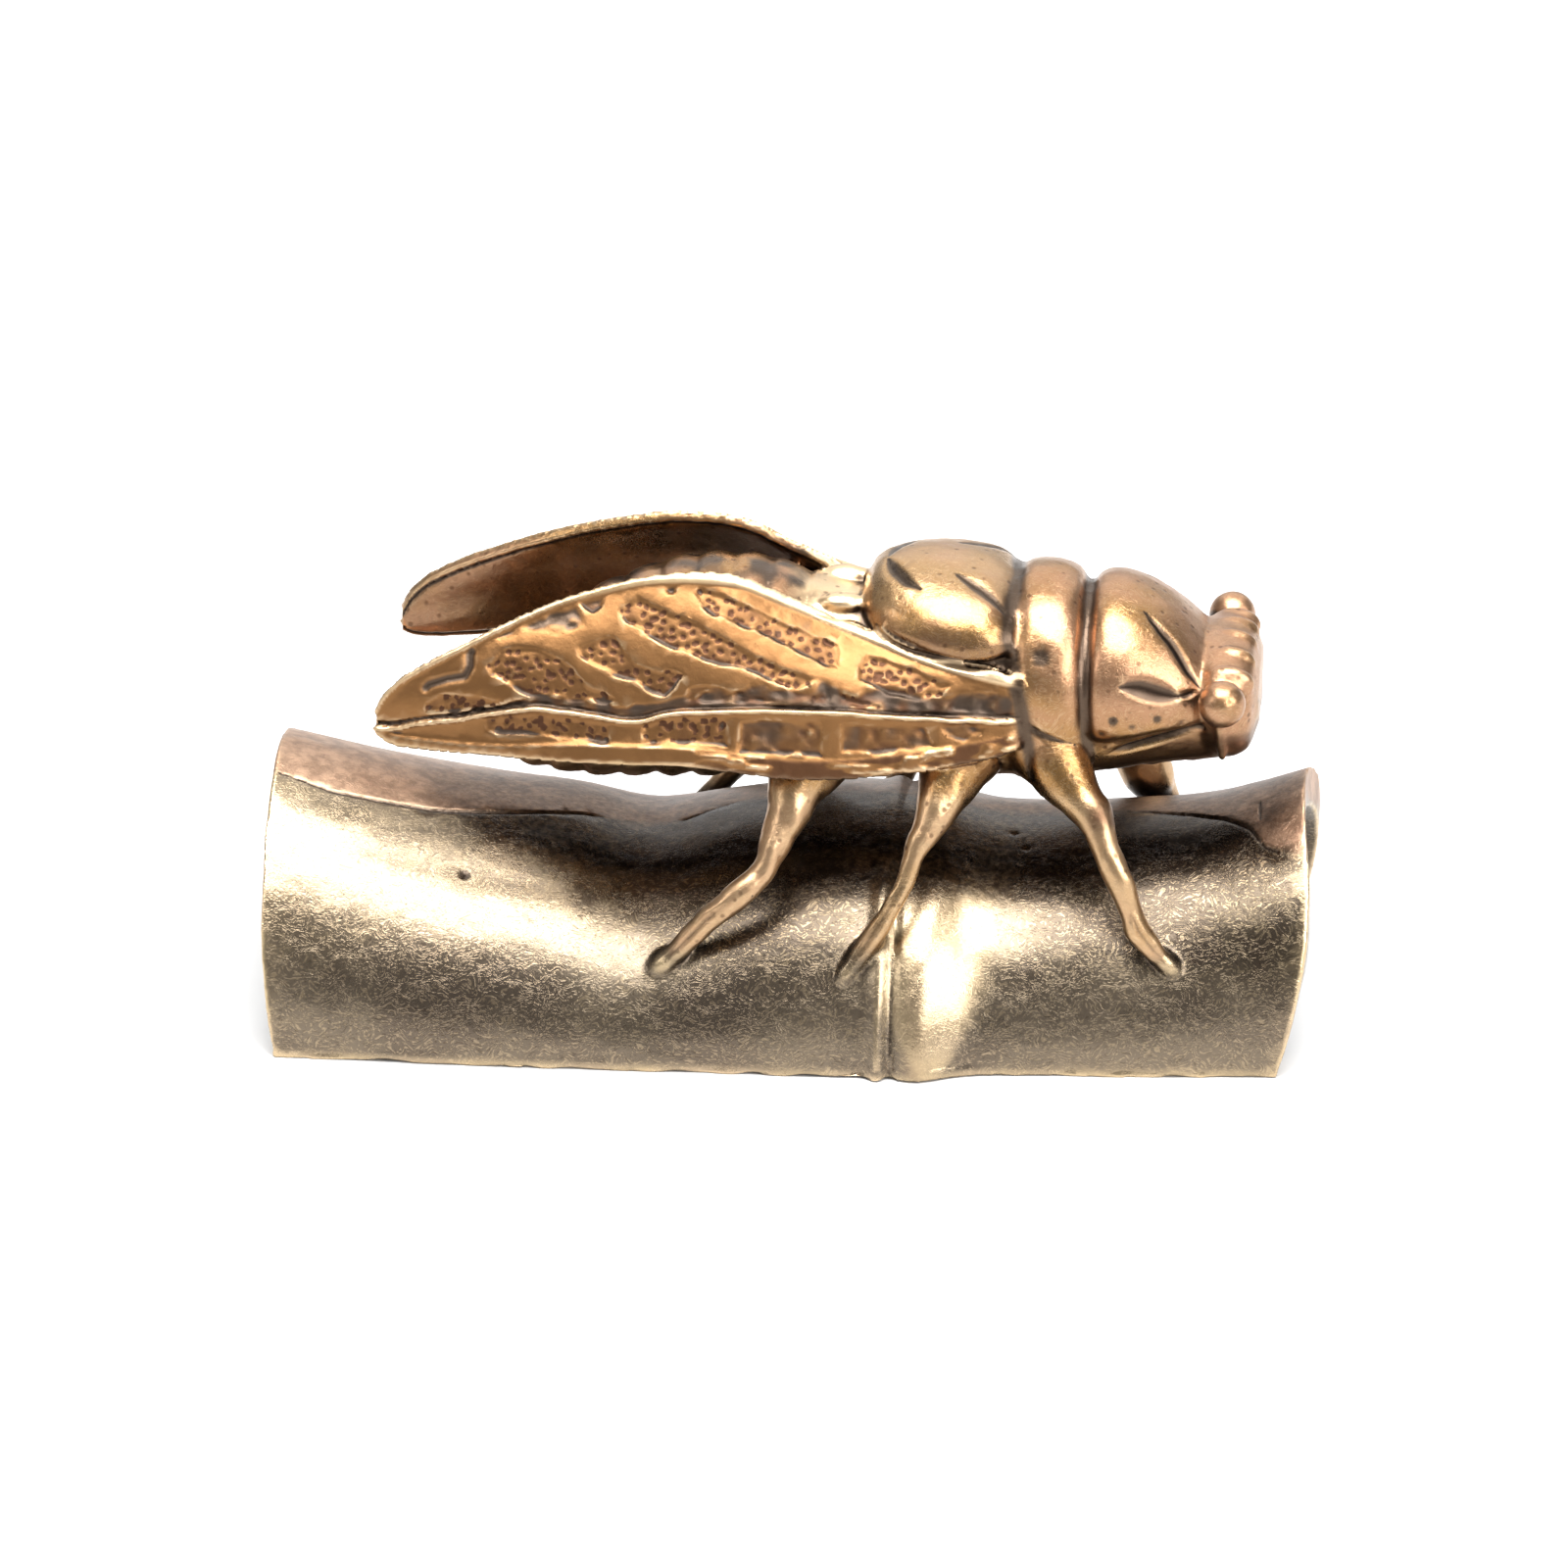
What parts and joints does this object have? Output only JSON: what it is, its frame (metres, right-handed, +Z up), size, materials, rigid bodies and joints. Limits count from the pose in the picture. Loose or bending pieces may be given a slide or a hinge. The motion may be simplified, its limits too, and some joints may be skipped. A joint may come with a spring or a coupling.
{
  "type": "cicada on bamboo figurine",
  "caption": "Small cast brass figurine of a cicada with folded wings standing on a half tube of bamboo, a desk ornament or paperweight.",
  "frame": {"origin": "under the middle of the bounding box, on the surface that the bamboo's two long edges stand on", "axes": "+Z up, +X along the bamboo towards the cicada's head, +Y towards the cicada's left side"},
  "size_m": [0.0458, 0.0206, 0.021],
  "materials": {
    "antique_brass": "cast brass with dark patina in the hollows, worn bright on the high spots"
  },
  "bodies": {
    "root": {"cicada_on_bamboo": "antique_brass"}
  },
  "joints": []
}
